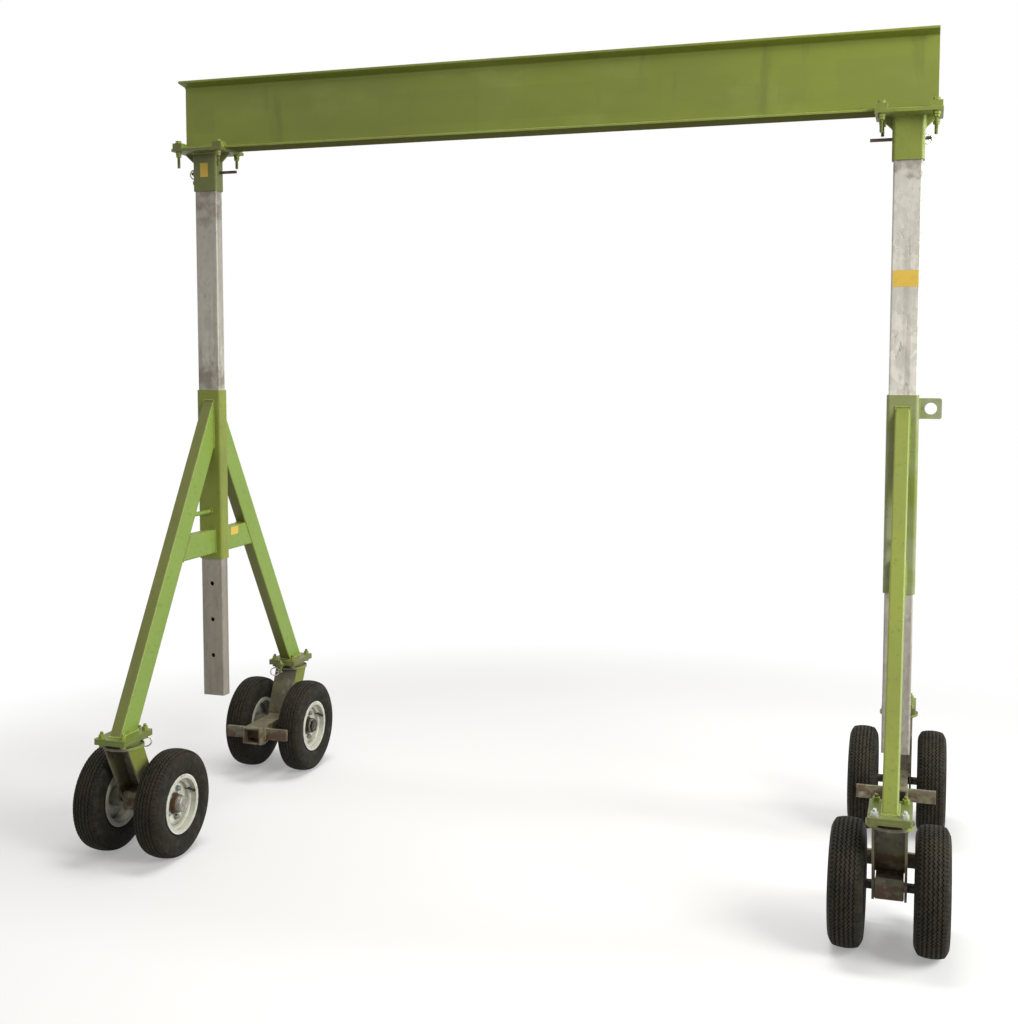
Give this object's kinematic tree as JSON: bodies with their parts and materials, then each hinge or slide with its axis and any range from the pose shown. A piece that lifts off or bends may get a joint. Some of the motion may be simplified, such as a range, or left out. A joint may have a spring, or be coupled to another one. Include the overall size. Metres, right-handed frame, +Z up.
{
  "type": "portable gantry crane",
  "caption": "Portable gantry crane: a steel beam on two splayed end frames with telescopic masts, on twin-wheel swivel castors with pneumatic tyres.",
  "frame": {"origin": "on the floor under the middle of the beam", "axes": "+Z up; +X along the beam towards the frame with the tie lug; -Y is the front, where the long ends of the height pins are"},
  "size_m": [3.182, 1.566, 3.07],
  "materials": {
    "green_paint": "semi-gloss yellow-green paint with scuffs",
    "galvanised": "dull galvanised steel",
    "castor_steel": "worn grey-olive paint with rust",
    "dark_steel": "dark oily steel",
    "tyre_rubber": "weathered black rubber",
    "rim_paint": "off-white paint"
  },
  "bodies": {
    "frame": {"beam": "green_paint", "head_clips": "green_paint", "height_pins": "green_paint", "head_pins": "dark_steel", "tie_lug": "green_paint", "foot_plates": "green_paint", "castor_plates": "green_paint", "swivel_locks": "green_paint", "head_left": "green_paint", "mast_left": "galvanised", "sleeve_left": "green_paint", "leg_front_left": "green_paint", "leg_back_left": "green_paint", "braces_left": "green_paint", "head_right": "green_paint", "mast_right": "galvanised", "sleeve_right": "green_paint", "leg_front_right": "green_paint", "leg_back_right": "green_paint", "braces_right": "green_paint"},
    "swivel_front_left": {"fork_front_left": "castor_steel", "arm_front_left": "castor_steel", "axle_front_left": "dark_steel"},
    "wheel_front_left_a": {"tyre_front_left_a": "tyre_rubber", "wheel_front_left_a": "rim_paint"},
    "wheel_front_left_b": {"tyre_front_left_b": "tyre_rubber", "wheel_front_left_b": "rim_paint"},
    "swivel_front_right": {"fork_front_right": "castor_steel", "arm_front_right": "castor_steel", "axle_front_right": "dark_steel"},
    "wheel_front_right_a": {"tyre_front_right_a": "tyre_rubber", "wheel_front_right_a": "rim_paint"},
    "wheel_front_right_b": {"tyre_front_right_b": "tyre_rubber", "wheel_front_right_b": "rim_paint"},
    "swivel_back_left": {"fork_back_left": "castor_steel", "arm_back_left": "castor_steel", "axle_back_left": "dark_steel"},
    "wheel_back_left_a": {"tyre_back_left_a": "tyre_rubber", "wheel_back_left_a": "rim_paint"},
    "wheel_back_left_b": {"tyre_back_left_b": "tyre_rubber", "wheel_back_left_b": "rim_paint"},
    "swivel_back_right": {"fork_back_right": "castor_steel", "arm_back_right": "castor_steel", "axle_back_right": "dark_steel"},
    "wheel_back_right_a": {"tyre_back_right_a": "tyre_rubber", "wheel_back_right_a": "rim_paint"},
    "wheel_back_right_b": {"tyre_back_right_b": "tyre_rubber", "wheel_back_right_b": "rim_paint"}
  },
  "joints": [
    {"name": "swivel_front_left", "type": "hinge", "parent": "frame", "child": "swivel_front_left", "pos_m": [-1.402, -0.688, 0.46], "axis": [0, 0, 1], "continuous": true},
    {"name": "roll_front_left_a", "type": "hinge", "parent": "swivel_front_left", "child": "wheel_front_left_a", "pos_m": [-1.269, -0.573, 0.2075], "axis": [1, 0, 0], "continuous": true},
    {"name": "roll_front_left_b", "type": "hinge", "parent": "swivel_front_left", "child": "wheel_front_left_b", "pos_m": [-1.535, -0.573, 0.2075], "axis": [1, 0, 0], "continuous": true},
    {"name": "swivel_front_right", "type": "hinge", "parent": "frame", "child": "swivel_front_right", "pos_m": [1.402, -0.688, 0.46], "axis": [0, 0, 1], "continuous": true},
    {"name": "roll_front_right_a", "type": "hinge", "parent": "swivel_front_right", "child": "wheel_front_right_a", "pos_m": [1.535, -0.573, 0.2075], "axis": [1, 0, 0], "continuous": true},
    {"name": "roll_front_right_b", "type": "hinge", "parent": "swivel_front_right", "child": "wheel_front_right_b", "pos_m": [1.269, -0.573, 0.2075], "axis": [1, 0, 0], "continuous": true},
    {"name": "swivel_back_left", "type": "hinge", "parent": "frame", "child": "swivel_back_left", "pos_m": [-1.402, 0.688, 0.46], "axis": [0, 0, 1], "continuous": true},
    {"name": "roll_back_left_a", "type": "hinge", "parent": "swivel_back_left", "child": "wheel_back_left_a", "pos_m": [-1.535, 0.573, 0.2075], "axis": [1, 0, 0], "continuous": true},
    {"name": "roll_back_left_b", "type": "hinge", "parent": "swivel_back_left", "child": "wheel_back_left_b", "pos_m": [-1.269, 0.573, 0.2075], "axis": [1, 0, 0], "continuous": true},
    {"name": "swivel_back_right", "type": "hinge", "parent": "frame", "child": "swivel_back_right", "pos_m": [1.402, 0.688, 0.46], "axis": [0, 0, 1], "continuous": true},
    {"name": "roll_back_right_a", "type": "hinge", "parent": "swivel_back_right", "child": "wheel_back_right_a", "pos_m": [1.269, 0.573, 0.2075], "axis": [1, 0, 0], "continuous": true},
    {"name": "roll_back_right_b", "type": "hinge", "parent": "swivel_back_right", "child": "wheel_back_right_b", "pos_m": [1.535, 0.573, 0.2075], "axis": [1, 0, 0], "continuous": true}
  ]
}
